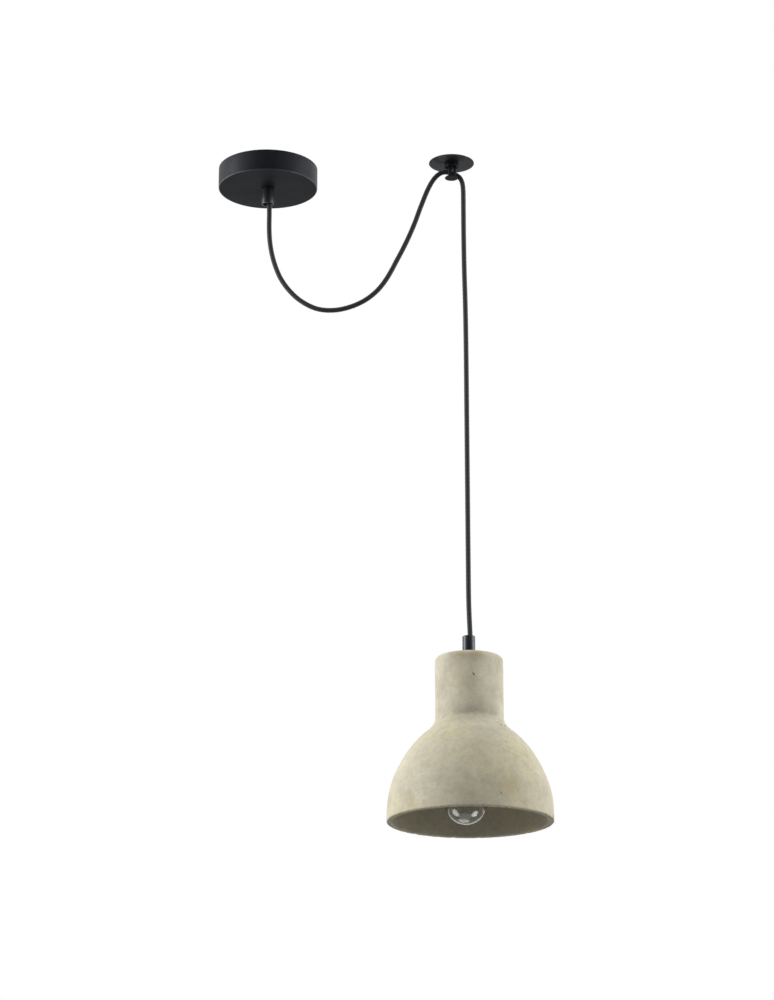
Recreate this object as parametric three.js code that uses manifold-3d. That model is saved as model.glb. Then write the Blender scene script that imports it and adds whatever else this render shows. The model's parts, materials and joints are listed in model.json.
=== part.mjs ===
// Pendant ceiling light: a concrete dome shade on a round cord. The cord leaves a canopy, swags to a
// ceiling hook and drops plumb to the shade. Millimetres, +Z up. The ceiling is the plane z = 0, the
// canopy is centred on the Z axis, and every height below is measured from the ceiling.
import * as THREE from 'three';
import { mergeVertices } from 'three/addons/utils/BufferGeometryUtils.js';
import Module from 'manifold-3d';

const wasm = await Module();
wasm.setup();

// ---------------------------------------------------------------- driving dimensions

const gap = 0.3; // clearance left between neighbours that touch on the real object

const canopy = { radius: 60.7, height: 26.2, wall: 1.2, edge: 2.5 };
const bracket = { halfLength: 57, width: 24, thickness: 2, flange: 13 };
const bracketSlot = { x: 40, length: 16, width: 5 }; // takes a ceiling screw, one on each side
const sideScrew = { radius: 1.9, hole: 2.2, tip: 52.5, head: 60.5, z: -8 };
const gland = {
  radius: 7.6, bottom: -46.6, bore: 5.3, boreTop: -32, nipple: 5.5, nippleTop: -18.5, nippleBore: 3.6,
};
const grub = { radius: 1.5, hole: 1.75, glandZ: -36, gripZ: -605.5 };
const earth = { x: -22, screwHead: 3.6, screwThread: 1.9, hole: 2.2, tagRadius: 4.2, tagHole: 2.4 };
const tagThickness = 0.8;

// Three-way terminal block: a wire bore and two screw wells in each way, and one hole to fix it.
const terminal = { x: 24.5, length: 17, width: 24, top: -2.3, bottom: -13.3, wireZ: -8.2, screwX: 5 };
const terminalWays = [-8, 0, 8];
const fixing = { x: 24.5, y: 4, hole: 1.8, well: 2.9, head: 2.6, thread: 1.5 };

const hook = { x: 225.4, y: -19.5, plateRadius: 27.6, plateThickness: 0.8, bossRadius: 8.5, bossBottom: -6 };
const hookStud = { radius: 2.5, depth: 1.8 };
const button = { radius: 8.2, top: -16.9, edgeTop: -19.5, bottom: -20.1 };
const postSpan = { top: -3.5, bottom: -18.2 };
const posts = {
  hook_post: { x: -2, y: -1.3, radius: 2 },
  hook_pin: { x: 4.1, y: -1.5, radius: 1.5 },
};

const shadeAxis = { x: 241.7, y: -16.6 };
const shade = {
  rimZ: -818.5, topZ: -624.3, rimRadius: 96.2, domeHeight: 123, neckRadius: 39.9,
  wall: 7, neckWall: 8, slab: 12, topEdge: 5.5, tubeHole: 6.2,
};
const domeBulge = { out: 1, height: 76 }; // the dome stands out from its ellipse below that height
const grip = { radius: 7.6, top: -598.8, bore: 5, socket: 5.8, socketTop: -611.5 };

const tube = { radius: 5, bore: 3.6, top: -612.3, bottom: -718 };
const lean = THREE.MathUtils.degToRad(1.5); // the tube leans in its oversize hole, and the bulb with it
const rubberWasher = { outer: 16, thickness: 1.5 };
const steelWasher = { outer: 15, thickness: 1.6 };
const shadeNut = { acrossFlats: 17, height: 5 };
const holderNut = { acrossFlats: 14, height: 3.5 };
const holder = { radius: 19.8, wall: 2.2, top: -710, seam: -733, bottom: -768, mouth: 15, collar: 8.5 };
const insert = { top: -733.6, bottom: -741, radius: 17.2 };
const contactShell = { inner: 13.5, outer: 14.2, bottom: -764 };
const bulb = {
  radius: 25, centreZ: -796.8, glass: 0.8, neckRadius: 12.1, neckTop: -756,
  capRadius: 13.1, capWall: 0.6, capTop: -749.8, capBottom: -771, tipTop: -743.3, tipRadius: 4.4,
};
const stem = { top: -757, bead: -784, footRadius: 10.5, rodRadius: 2.2 };
const filament = { half: 8, z: -798, rise: 2, radius: 0.5 };

const cordRadius = 3;
const coreRadius = 0.9;
const wireRadius = 0.35;

// Both swing pivots sit in the cord just below the hook.
const upperPivotZ = -47.5;
const lowerPivotZ = -86;

// ---------------------------------------------------------------- finishes

const finish = (color, roughness, metalness = 0) => ({ color, roughness, metalness });
const blackPaint = finish('#2b2d30', 0.5, 0.4);
const blackCord = finish('#2a2b2c', 0.8);
const concrete = finish('#b7b09a', 0.95);
const zincSteel = finish('#b9bcc0', 0.35, 0.9);
const brass = finish('#c2a35a', 0.35, 0.9);
const nylon = finish('#e6e2d6', 0.6);
const rubber = finish('#1b1b1b', 0.9);
const blackPlastic = finish('#1c1c1e', 0.45);
const ceramic = finish('#eeeae0', 0.5);
const clearGlass = { ...finish('#e9f0f2', 0.05), transparent: true, opacity: 0.35 };
const blackGlass = finish('#111114', 0.15);
const tungsten = finish('#77736c', 0.4, 0.9);
const brownCore = finish('#6b3f22', 0.6);
const blueCore = finish('#2f5fa8', 0.6);
const greenCore = finish('#5f9a3a', 0.6);

// ---------------------------------------------------------------- geometry helpers

// Shares the vertices, drops the flat triangles of a pole, and turns the faces outwards.
function closed(geometry) {
  const bare = geometry.index ? geometry.toNonIndexed() : geometry.clone();
  bare.deleteAttribute('normal');
  bare.deleteAttribute('uv');
  const merged = mergeVertices(bare, 1e-5);
  const corner = (i) => new THREE.Vector3().fromBufferAttribute(merged.attributes.position, i);
  const kept = [];
  let volume = 0;
  for (let i = 0; i < merged.index.count; i += 3) {
    const [a, b, c] = [0, 1, 2].map((k) => merged.index.getX(i + k));
    if (a === b || b === c || c === a) continue;
    kept.push(a, b, c);
    volume += corner(a).dot(corner(b).cross(corner(c)));
  }
  merged.setIndex(volume < 0 ? kept.reverse() : kept);
  merged.computeVertexNormals();
  return merged;
}

function toSolid(geometry) {
  const shape = closed(geometry);
  const vertProperties = new Float32Array(shape.attributes.position.array);
  const triVerts = new Uint32Array(shape.index.array);
  return new wasm.Manifold(new wasm.Mesh({ numProp: 3, vertProperties, triVerts }));
}

function toGeometry(solid) {
  const mesh = solid.getMesh();
  const geometry = new THREE.BufferGeometry();
  geometry.setAttribute('position', new THREE.BufferAttribute(mesh.vertProperties, 3));
  geometry.setIndex(new THREE.BufferAttribute(mesh.triVerts, 1));
  geometry.computeVertexNormals();
  return geometry;
}

const cut = (geometry, ...tools) =>
  toGeometry(tools.reduce((solid, tool) => solid.subtract(toSolid(tool)), toSolid(geometry)));
const join = (a, b) => toGeometry(toSolid(a).add(toSolid(b)));

// A turned piece from its outline: [radius, z] pairs, or a THREE.Path in the same plane.
function turned(outline, segments = 20, arcSteps = 3) {
  const points = Array.isArray(outline)
    ? outline.map(([radius, z]) => new THREE.Vector2(radius, z))
    : outline.getPoints(arcSteps);
  return closed(new THREE.LatheGeometry(points, segments).rotateX(Math.PI / 2));
}

const rod = (radius, low, high, segments = 16) =>
  turned([[0, low], [radius, low], [radius, high], [0, high]], segments);
const ring = (inner, outer, low, high, segments = 20) =>
  turned([[inner, low], [outer, low], [outer, high], [inner, high], [inner, low]], segments);
const alongX = (geometry, z) => geometry.rotateY(Math.PI / 2).translate(0, 0, z);
const block = (sizeX, sizeY, low, high) =>
  new THREE.BoxGeometry(sizeX, sizeY, high - low).translate(0, 0, (low + high) / 2);

function regularPolygon(radius, sides) {
  return Array.from({ length: sides }, (_, i) => {
    const angle = (2 * Math.PI * i) / sides;
    return new THREE.Vector2(radius * Math.cos(angle), radius * Math.sin(angle));
  });
}

function hexNut(acrossFlats, hole, low, high) {
  const shape = new THREE.Shape(regularPolygon(acrossFlats / Math.sqrt(3), 6));
  shape.holes.push(new THREE.Path(regularPolygon(hole, 20)));
  const body = new THREE.ExtrudeGeometry(shape, { depth: high - low, bevelEnabled: false });
  return closed(body.translate(0, 0, low));
}

// A tube of round section along a smooth route.
function tubeAlong(points, radius, sides, step) {
  const route = new THREE.CatmullRomCurve3(points, false, 'centripetal');
  const section = new THREE.Shape(regularPolygon(radius, sides));
  const steps = Math.max(2, Math.round(route.getLength() / step));
  return closed(new THREE.ExtrudeGeometry(section, { steps, bevelEnabled: false, extrudePath: route }));
}

// A small slotted screw that is driven from below.
function slottedScrew(radius, low, high) {
  const slotWidth = 0.6;
  const slot = block(2.2 * radius, slotWidth, low - 1, low + slotWidth);
  return cut(rod(radius, low, high, 12), slot);
}

// A screw with a round head below its thread.
const headedScrew = (head, headLow, headHigh, thread, tip) =>
  join(rod(head, headLow, headHigh), rod(thread, headHigh - 0.5, tip));

// ---------------------------------------------------------------- the scene graph

const light = new THREE.Group();
const hookGroup = new THREE.Group();
hookGroup.position.set(hook.x, hook.y, 0);
const shadeGroup = new THREE.Group();
shadeGroup.position.set(shadeAxis.x, shadeAxis.y, 0);

// The leaning group turns about the top of the threaded tube, and its heights still start at the ceiling.
const leaningPivot = new THREE.Group();
leaningPivot.position.z = tube.top;
leaningPivot.rotation.y = lean;
const leaningGroup = new THREE.Group();
leaningGroup.position.z = -tube.top;
leaningPivot.add(leaningGroup);
shadeGroup.add(leaningPivot);
light.add(hookGroup, shadeGroup);

function place(group, name, geometry, material, x = 0, y = 0) {
  const mesh = new THREE.Mesh(geometry, new THREE.MeshStandardMaterial(material));
  mesh.name = name;
  mesh.position.set(x, y, 0);
  group.add(mesh);
}

// ---------------------------------------------------------------- canopy

function canopyCup() {
  const { radius, height, wall, edge } = canopy;
  const hole = gland.nipple + gap;
  const outline = new THREE.Path();
  outline.moveTo(hole, -height);
  outline.lineTo(radius - edge, -height);
  outline.absarc(radius - edge, -height + edge, edge, -Math.PI / 2, 0);
  outline.lineTo(radius, 0);
  outline.lineTo(radius - wall, 0);
  outline.absarc(radius - edge, -height + edge, edge - wall, 0, -Math.PI / 2, true);
  outline.lineTo(hole, -height + wall);
  outline.lineTo(hole, -height);
  const screwHoles = alongX(rod(sideScrew.hole, -radius - 5, radius + 5, 12), sideScrew.z);
  return cut(turned(outline, 44, 2), screwHoles);
}

// A strip bent down at both ends. The middle stays solid, and a slot each side takes a ceiling screw.
function ceilingBracket() {
  const { halfLength, width, thickness, flange } = bracket;
  const strip = block(2 * halfLength, width, -flange, 0);
  const inside = block(2 * (halfLength - thickness), width + 2, -flange - 1, -thickness);
  const slots = [-bracketSlot.x, bracketSlot.x].map((x) =>
    block(bracketSlot.length, bracketSlot.width, -thickness - 1, 1).translate(x, 0, 0));
  const screwHoles = alongX(rod(sideScrew.hole, -halfLength - 1, halfLength + 1), sideScrew.z);
  const earthHole = rod(earth.hole, -thickness - 1, 1).translate(earth.x, 0, 0);
  const fixingHole = rod(fixing.hole, -thickness - 1, 1).translate(fixing.x, fixing.y, 0);
  return cut(strip, inside, ...slots, screwHoles, earthHole, fixingHole);
}

function canopyGland() {
  const { radius, bottom, bore, boreTop, nipple, nippleTop, nippleBore } = gland;
  const shoulder = -canopy.height - gap;
  const body = turned([
    [nippleBore, nippleTop], [nipple, nippleTop], [nipple, shoulder], [radius, shoulder],
    [radius, bottom + 1], [radius - 0.8, bottom], [bore, bottom], [bore, boreTop],
    [nippleBore, boreTop + 2.5], [nippleBore, nippleTop],
  ], 20);
  return cut(body, alongX(rod(grub.hole, -radius - 1, -bore + 1, 12), grub.glandZ));
}

function terminalBlock() {
  const { length, width, top, bottom, wireZ, screwX } = terminal;
  const wireBore = 1.6;
  const screwWell = 2.1;
  const tools = [];
  for (const y of terminalWays) {
    tools.push(alongX(rod(wireBore, -length, length, 8), wireZ).translate(0, y, 0));
    for (const x of [-screwX, screwX]) {
      tools.push(rod(screwWell, bottom - 1, wireZ, 10).translate(x, y, 0));
    }
  }
  tools.push(rod(fixing.hole, bottom - 1, top + 1, 12).translate(0, fixing.y, 0));
  tools.push(rod(fixing.well, bottom - 1, bottom + 2, 12).translate(0, fixing.y, 0));
  return cut(block(length, width, bottom, top), ...tools);
}

// A round eye under the earth screw, with a short tongue that grips the earth core.
function earthTag() {
  const { tagRadius, tagHole } = earth;
  const tongue = { half: 1.3, reach: 8 };
  const start = Math.asin(tongue.half / tagRadius);
  const shape = new THREE.Shape();
  shape.absarc(0, 0, tagRadius, start, 2 * Math.PI - start);
  shape.lineTo(tongue.reach, -tongue.half);
  shape.lineTo(tongue.reach, tongue.half);
  shape.holes.push(new THREE.Path(regularPolygon(tagHole, 16)));
  const body = new THREE.ExtrudeGeometry(shape, {
    depth: tagThickness, bevelEnabled: false, curveSegments: 16,
  });
  return closed(body.translate(0, 0, -bracket.thickness - gap - tagThickness));
}

const point = (x, y, z) => new THREE.Vector3(x, y, z);
const upperCores = [
  ['core_live_upper', brownCore, [point(1.2, -1.2, -16.4), point(3, -4, -12), point(9, -7.6, -8.8),
    point(15, -8, -8.2), point(19, -8, -8.2)]],
  ['core_neutral_upper', blueCore, [point(1.4, 1, -16.4), point(4, 0.8, -11.5), point(10, 0.2, -8.6),
    point(15, 0, -8.2), point(19, 0, -8.2)]],
  ['core_earth_upper', greenCore, [point(-1.5, 0, -16.4), point(-3.5, 0, -12), point(-7, 0, -7),
    point(-10.5, 0, -4), point(-13.7, 0, -3.6)]],
];

function addCanopy() {
  place(light, 'mounting_bracket', ceilingBracket(), zincSteel);
  place(light, 'canopy_cup', canopyCup(), blackPaint);
  const { tip, head, z, radius: screwRadius } = sideScrew;
  const oneSideScrew = () => alongX(rod(screwRadius, tip, head, 12), z);
  place(light, 'canopy_screw_right', oneSideScrew(), blackPaint);
  place(light, 'canopy_screw_left', oneSideScrew().rotateZ(Math.PI), blackPaint);
  place(light, 'gland_body', canopyGland(), blackPaint);
  const floor = -canopy.height + canopy.wall + gap;
  place(light, 'gland_locknut', hexNut(16, gland.nipple + gap, floor, floor + 3.2), zincSteel);
  const glandGrub = alongX(rod(grub.radius, -gland.radius - 0.9, -2.3, 12), grub.glandZ);
  place(light, 'gland_grub_screw', glandGrub, blackPaint);
  place(light, 'terminal_block', terminalBlock(), nylon, terminal.x);
  let number = 1;
  for (const y of terminalWays) {
    for (const side of [-terminal.screwX, terminal.screwX]) {
      const screw = slottedScrew(1.75, terminal.bottom + gap, terminal.wireZ - 2);
      place(light, `terminal_screw_${number}`, screw, brass, terminal.x + side, y);
      number += 1;
    }
  }
  const fixingLow = terminal.bottom + 0.2;
  const fixingScrew = headedScrew(fixing.head, fixingLow, fixingLow + 1.5, fixing.thread, -gap);
  place(light, 'terminal_fixing_screw', fixingScrew, zincSteel, fixing.x, fixing.y);
  place(light, 'earth_ring_tag', earthTag(), brass, earth.x);
  const headTop = -bracket.thickness - 2 * gap - tagThickness;
  const earthScrew = headedScrew(earth.screwHead, headTop - 2, headTop, earth.screwThread, -gap);
  place(light, 'earth_screw', earthScrew, brass, earth.x);
  for (const [name, material, route] of upperCores) {
    place(light, name, tubeAlong(route, coreRadius, 6, 2.5), material);
  }
}

// ---------------------------------------------------------------- ceiling hook

// Holes for the post and the pin, with clearance all round.
const postHoles = (low, high) =>
  Object.values(posts).map(({ x, y, radius }) => rod(radius + gap, low, high).translate(x, y, 0));

// The cord lies behind the post and the pin, on a button whose top is domed.
function hookButton() {
  const { radius, top, edgeTop, bottom } = button;
  const outline = new THREE.Path();
  outline.moveTo(0, bottom);
  outline.lineTo(radius - 1.6, bottom);
  outline.quadraticCurveTo(radius, bottom, radius, edgeTop);
  outline.quadraticCurveTo(radius * 0.68, top, 2.4, top);
  outline.lineTo(0, top);
  return cut(turned(outline, 20, 3), ...postHoles(postSpan.bottom - gap, 0));
}

function hookBoss() {
  const top = -hook.plateThickness - gap;
  const studSocket = rod(hookStud.radius, top - hookStud.depth, top + 1);
  const holes = postHoles(hook.bossBottom - 1, postSpan.top + gap);
  return cut(rod(hook.bossRadius, hook.bossBottom, top, 28), studSocket, ...holes);
}

function addHook() {
  place(hookGroup, 'hook_plate', ring(3, hook.plateRadius, -hook.plateThickness, 0, 40), blackPaint);
  place(hookGroup, 'hook_boss', hookBoss(), blackPaint);
  for (const [name, { x, y, radius }] of Object.entries(posts)) {
    place(hookGroup, name, rod(radius, postSpan.bottom, postSpan.top), blackPaint, x, y);
  }
  place(hookGroup, 'hook_button', hookButton(), blackPaint);
}

// ---------------------------------------------------------------- cord

// The whole cord lies in the upright plane through the canopy's axis and the shade's axis, so its
// route is [x, z] pairs.
const swagRoute = [
  [0, -16.8], [0, -24], [0.4, -31], [1.2, -37.5], [1.9, -46], [2.1, -58], [2.2, -80], [3.4, -97],
  [6.1, -113], [10.4, -128.5], [17, -144.5], [27.6, -160.4], [41.4, -174.1], [61, -185], [80.4, -187.6],
  [99.8, -184.4], [119.1, -176], [134.6, -163.4], [146.1, -148], [158.3, -124.9], [169.7, -101.6],
  [179.5, -78.2], [187.7, -54.9],
];
const hookRoute = [
  [187.8, -54.6], [195.8, -33.8], [200.9, -23.4], [204.8, -17.6], [208.8, -13.5], [213, -10.8],
  [217.3, -9.9], [221.8, -10.5], [226.3, -12.1], [230.8, -14.1], [234.9, -17.2], [237.6, -21.9],
  [239.1, -28.3], [239.6, -36], [239.7, -44.3],
];
const linkRoute = [[239.7, upperPivotZ], [239.7, -66], [239.7, -82]];
const dropRoute = [
  [239.7, lowerPivotZ], [239.8, -110], [240.2, -145], [240.9, -180], [241.3, -215], [241.5, -260],
  [241.6, -330], [241.7, -420], [241.8, -500], [242, -556], [242.5, -576], [243.1, -592], [243.3, -601],
  [243.2, -610.3],
];
const onCordPlane = ([x, z]) => point(x, (x * shadeAxis.y) / shadeAxis.x, z);

// A stretch of cord. A rounded top, centred on a swing pivot, keeps clear as the stretch swings.
function cordStretch(route, step, roundTop = false) {
  const points = route.map(onCordPlane);
  const stretch = tubeAlong(points, cordRadius, 8, step);
  if (!roundTop) return stretch;
  const cap = new THREE.SphereGeometry(cordRadius * 0.98, 8, 4).rotateX(Math.PI / 2);
  return join(stretch, cap.translate(points[0].x, points[0].y, points[0].z));
}

function addCord() {
  place(light, 'cord_swag', cordStretch(swagRoute, 13), blackCord);
  place(light, 'cord_over_hook', cordStretch(hookRoute, 5.5), blackCord);
  place(light, 'cord_link', cordStretch(linkRoute, 12, true), blackCord);
  place(light, 'cord_drop', cordStretch(dropRoute, 16, true), blackCord);
}

// ---------------------------------------------------------------- shade and its suspension

const { rimZ, topZ, rimRadius, domeHeight, neckRadius } = shade;

// How far the dome reaches from the axis at a height above the rim.
function domeRadius(height) {
  const ellipse = rimRadius * Math.sqrt(1 - (height / domeHeight) ** 2);
  if (height > domeBulge.height) return ellipse;
  return ellipse + domeBulge.out * Math.sin((Math.PI * height) / domeBulge.height) ** 2;
}

// Neck with a rounded top edge, a small hollow fillet, and a dome that is nearly half an ellipsoid.
function concreteShade() {
  const { wall, neckWall, slab, topEdge, tubeHole } = shade;
  const innerNeck = neckRadius - neckWall;
  const innerRim = rimRadius - wall;
  const innerHeight = domeHeight - wall;
  // The fillet leaves the dome at domeEnd and the neck at neckStart, towards the corner at meetZ.
  const fillet = { domeEnd: 105, meetZ: rimZ + 113.5, neckStart: rimZ + 122 };
  const innerMeet = Math.acos(innerNeck / innerRim);
  const outline = new THREE.Path();
  outline.moveTo(rimRadius, rimZ);
  for (const height of [14, 28, 42, 56, 72, 89, fillet.domeEnd]) {
    outline.lineTo(domeRadius(height), rimZ + height);
  }
  outline.quadraticCurveTo(neckRadius, fillet.meetZ, neckRadius, fillet.neckStart);
  outline.lineTo(neckRadius, topZ - topEdge);
  outline.absarc(neckRadius - topEdge, topZ - topEdge, topEdge, 0, Math.PI / 2);
  outline.lineTo(tubeHole, topZ);
  outline.lineTo(tubeHole, topZ - slab);
  outline.lineTo(innerNeck - 3, topZ - slab);
  outline.lineTo(innerNeck, topZ - slab - 3);
  outline.absellipse(0, rimZ, innerRim, innerHeight, innerMeet, 0, true);
  outline.lineTo(rimRadius, rimZ);
  return turned(outline, 44, 3);
}

function cordGrip() {
  const { radius, top, bore, socket, socketTop } = grip;
  const edge = 1.5;
  const bottom = topZ + gap;
  const outline = new THREE.Path();
  outline.moveTo(bore, top);
  outline.lineTo(bore, socketTop);
  outline.lineTo(socket, socketTop);
  outline.lineTo(socket, bottom);
  outline.lineTo(radius, bottom);
  outline.absarc(radius - edge, top - edge, edge, 0, Math.PI / 2);
  outline.lineTo(bore, top);
  return cut(turned(outline, 20, 2), alongX(rod(grub.hole, -radius - 1, -bore + 1, 12), grub.gripZ));
}

function addShade() {
  place(shadeGroup, 'grip_body', cordGrip(), blackPaint);
  const gripGrub = alongX(rod(grub.radius, -grip.radius + 0.4, -2, 12), grub.gripZ);
  place(shadeGroup, 'grip_grub_screw', gripGrub, blackPaint);
  place(shadeGroup, 'shade', concreteShade(), concrete);
  const rubberTop = topZ - shade.slab - gap;
  const rubberLow = rubberTop - rubberWasher.thickness;
  const rubberRing = ring(shade.tubeHole, rubberWasher.outer, rubberLow, rubberTop, 28);
  place(shadeGroup, 'rubber_washer', rubberRing, rubber);
  const loose = tube.radius + gap;
  const washerTop = rubberLow - 1; // room for the tilt of the leaning washer
  const washerLow = washerTop - steelWasher.thickness;
  place(leaningGroup, 'steel_washer', ring(loose, steelWasher.outer, washerLow, washerTop), zincSteel);
  const nutTop = washerLow - gap;
  const nut = hexNut(shadeNut.acrossFlats, loose, nutTop - shadeNut.height, nutTop);
  place(leaningGroup, 'shade_nut', nut, zincSteel);
  place(leaningGroup, 'threaded_tube', ring(tube.bore, tube.radius, tube.bottom, tube.top, 20), zincSteel);
}

// ---------------------------------------------------------------- lampholder

const lowerCores = [
  ['core_live_lower', brownCore],
  ['core_neutral_lower', blueCore],
  ['core_earth_lower', greenCore],
];

function holderCap() {
  const { radius, wall, top, seam, collar } = holder;
  const bore = tube.radius + gap;
  const outline = new THREE.Path();
  outline.moveTo(bore, top);
  outline.lineTo(bore, top - 6);
  outline.lineTo(collar - 1, top - 6);
  outline.quadraticCurveTo(radius - wall, top - 7, radius - wall, top - 17);
  outline.lineTo(radius - wall, seam);
  outline.lineTo(radius, seam);
  outline.lineTo(radius, top - 15);
  outline.quadraticCurveTo(radius, top - 4, collar, top - 3.5);
  outline.lineTo(collar, top);
  outline.lineTo(bore, top);
  return turned(outline, 20, 2);
}

function holderSkirt() {
  const { radius, wall, seam, bottom, mouth } = holder;
  const inner = radius - wall;
  const top = seam - gap;
  return turned([
    [inner, top], [inner, bottom + 2], [mouth, bottom + 2], [mouth, bottom], [radius - 1, bottom],
    [radius, bottom + 1.2], [radius, top], [inner, top],
  ], 28);
}

function addLampholder() {
  const nutLow = holder.top + gap;
  const nut = hexNut(holderNut.acrossFlats, tube.radius + gap, nutLow, nutLow + holderNut.height);
  place(leaningGroup, 'holder_locknut', nut, zincSteel);
  place(leaningGroup, 'lampholder_cap', holderCap(), blackPlastic);
  place(leaningGroup, 'lampholder_skirt', holderSkirt(), blackPlastic);
  place(leaningGroup, 'lampholder_insert', rod(insert.radius, insert.bottom, insert.top, 24), ceramic);
  const contactTop = insert.bottom - gap;
  const { inner, outer, bottom } = contactShell;
  place(leaningGroup, 'contact_shell', ring(inner, outer, bottom, contactTop, 24), brass);
  place(leaningGroup, 'centre_contact', rod(4, bulb.tipTop + gap, contactTop, 16), brass);
  lowerCores.forEach(([name, material], i) => {
    const angle = (2 * Math.PI * i) / lowerCores.length;
    const at = (radius, z) => point(radius * Math.cos(angle), radius * Math.sin(angle), z);
    const route = [at(1.8, tube.top + 1), at(1.8, -660), at(1.8, -717), at(3.4, -722), at(7.5, -727.5),
      at(9, insert.top + gap)];
    place(leaningGroup, name, tubeAlong(route, coreRadius, 6, 11), material);
  });
}

// ---------------------------------------------------------------- bulb

function bulbGlass() {
  const { radius, centreZ, glass, neckRadius: neck, neckTop } = bulb;
  const meet = (r, sphere) => Math.acos(r / sphere);
  const inner = radius - glass;
  const innerNeck = neck - glass;
  const outline = new THREE.Path();
  outline.moveTo(0, centreZ - inner);
  outline.absarc(0, centreZ, inner, -Math.PI / 2, meet(innerNeck + 0.8, inner));
  outline.lineTo(innerNeck, centreZ + 23.2);
  outline.lineTo(innerNeck, neckTop);
  outline.lineTo(neck, neckTop);
  outline.lineTo(neck, centreZ + 23.5);
  outline.absarc(0, centreZ, radius, meet(neck + 0.8, radius), -Math.PI / 2, true);
  return turned(outline, 24, 3);
}

function bulbCap() {
  const { capRadius: outer, capWall, capTop: top, capBottom: low } = bulb;
  const inner = outer - capWall;
  return turned([
    [0, top], [11, top], [outer, top - 2.2], [outer, low], [inner, low],
    [inner, top - 2.6], [10.8, top - 0.8], [0, top - 0.8],
  ], 28);
}

// The glass stem: a flared foot in the bulb's neck, then a rod down to the bead that holds the wires.
function bulbStem() {
  const { top, bead, footRadius: foot, rodRadius } = stem;
  return turned([
    [0, bead], [1.6, bead + 0.3], [rodRadius, bead + 1.6], [rodRadius, top - 12], [3.2, top - 7],
    [foot, top - 1], [foot, top], [0, top],
  ], 16);
}

function addBulb() {
  const { tipTop, tipRadius } = bulb;
  place(leaningGroup, 'bulb_tip', rod(tipRadius, tipTop - 1.6, tipTop, 20), brass);
  place(leaningGroup, 'bulb_insulator', turned([
    [0, tipTop - 1.9], [5, tipTop - 1.9], [10.5, tipTop - 6.2], [0, tipTop - 6.2],
  ]), blackGlass);
  place(leaningGroup, 'bulb_cap', bulbCap(), zincSteel);
  place(leaningGroup, 'bulb_glass', bulbGlass(), clearGlass);
  place(leaningGroup, 'bulb_stem', bulbStem(), clearGlass);
  for (const [name, side] of [['bulb_lead_left', -1], ['bulb_lead_right', 1]]) {
    const start = stem.bead - wireRadius;
    const bend = point(3.5 * side, 0, start - 4);
    const route = [point(side, 0, start), bend, point(filament.half * side, 0, filament.z)];
    place(leaningGroup, name, tubeAlong(route, wireRadius, 6, 4), tungsten);
  }
  const reach = filament.half - 2 * wireRadius - 0.2;
  const end = filament.z + 0.5;
  const arc = [point(-reach, 0, end), point(0, 0, filament.z + filament.rise), point(reach, 0, end)];
  place(leaningGroup, 'bulb_filament', tubeAlong(arc, filament.radius, 6, 2.5), tungsten);
}

addCanopy();
addHook();
addCord();
addShade();
addLampholder();
addBulb();

export default light;
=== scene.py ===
"""Pendant ceiling light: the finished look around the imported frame. +Z is up and the ceiling is z = 0.

Blender works in metres. The shapes' own sizes are in millimetres.
"""
import json
import math

import bmesh
import bpy
import numpy as np
from mathutils import Matrix, Vector, noise


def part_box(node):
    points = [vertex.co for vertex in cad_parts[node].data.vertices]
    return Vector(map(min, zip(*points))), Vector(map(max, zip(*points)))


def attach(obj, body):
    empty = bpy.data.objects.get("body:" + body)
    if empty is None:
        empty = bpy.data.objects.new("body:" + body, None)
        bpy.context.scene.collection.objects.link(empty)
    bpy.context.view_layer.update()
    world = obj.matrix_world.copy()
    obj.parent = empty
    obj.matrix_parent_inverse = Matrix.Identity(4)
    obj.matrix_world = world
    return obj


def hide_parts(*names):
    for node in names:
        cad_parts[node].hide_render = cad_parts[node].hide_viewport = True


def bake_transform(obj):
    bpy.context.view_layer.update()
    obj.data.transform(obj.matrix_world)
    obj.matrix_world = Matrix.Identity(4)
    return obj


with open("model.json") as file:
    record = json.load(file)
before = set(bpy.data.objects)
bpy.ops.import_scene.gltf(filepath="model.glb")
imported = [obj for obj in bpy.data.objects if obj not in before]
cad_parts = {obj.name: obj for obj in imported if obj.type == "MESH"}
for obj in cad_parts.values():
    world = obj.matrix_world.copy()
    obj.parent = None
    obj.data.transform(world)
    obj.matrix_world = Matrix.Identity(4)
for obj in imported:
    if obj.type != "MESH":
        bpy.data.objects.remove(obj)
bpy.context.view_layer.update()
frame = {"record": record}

MM = 0.001
TURN = 2 * math.pi

record = frame["record"]
slot_of = {part["node"]: part["material_slot"] for part in record["subparts"]}
body_of = {node: body for body, nodes in record["behaviour"]["bodies"].items() for node in nodes}


# ---------------- objects and camera

def new_object(name, data):
    made = bpy.data.objects.new(name, data)
    bpy.context.scene.collection.objects.link(made)
    return made


CAMERA = {"sensor": 36, "lens": 105.94, "place": (0.1464, -3.3342, -1.4829), "degrees_up": 17.574}


def add_camera():
    data = bpy.data.cameras.new("camera")
    data.sensor_width = CAMERA["sensor"]
    data.lens = CAMERA["lens"]
    camera = new_object("camera", data)
    camera.location = CAMERA["place"]
    camera.rotation_euler = (math.radians(90 + CAMERA["degrees_up"]), 0, 0)
    bpy.context.scene.camera = camera


add_camera()


# ---------------- mesh helpers

CORNER_STEPS = 4
CURVE_STEPS = 40
ON_AXIS = 1e-7
RUN_OUT = 0.6


def clamped(value):
    return min(max(value, 0), 1)


def scaled(points):
    """Points or corners given in millimetres, in metres."""
    return [tuple(MM * value for value in point) for point in points]


def bend(start, meet, end, pieces):
    """Points on a curve that leaves start towards meet and comes from meet to end."""
    shares = [i / pieces for i in range(pieces + 1)]
    return [start * (1 - t) ** 2 + meet * 2 * t * (1 - t) + end * t * t for t in shares]


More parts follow.
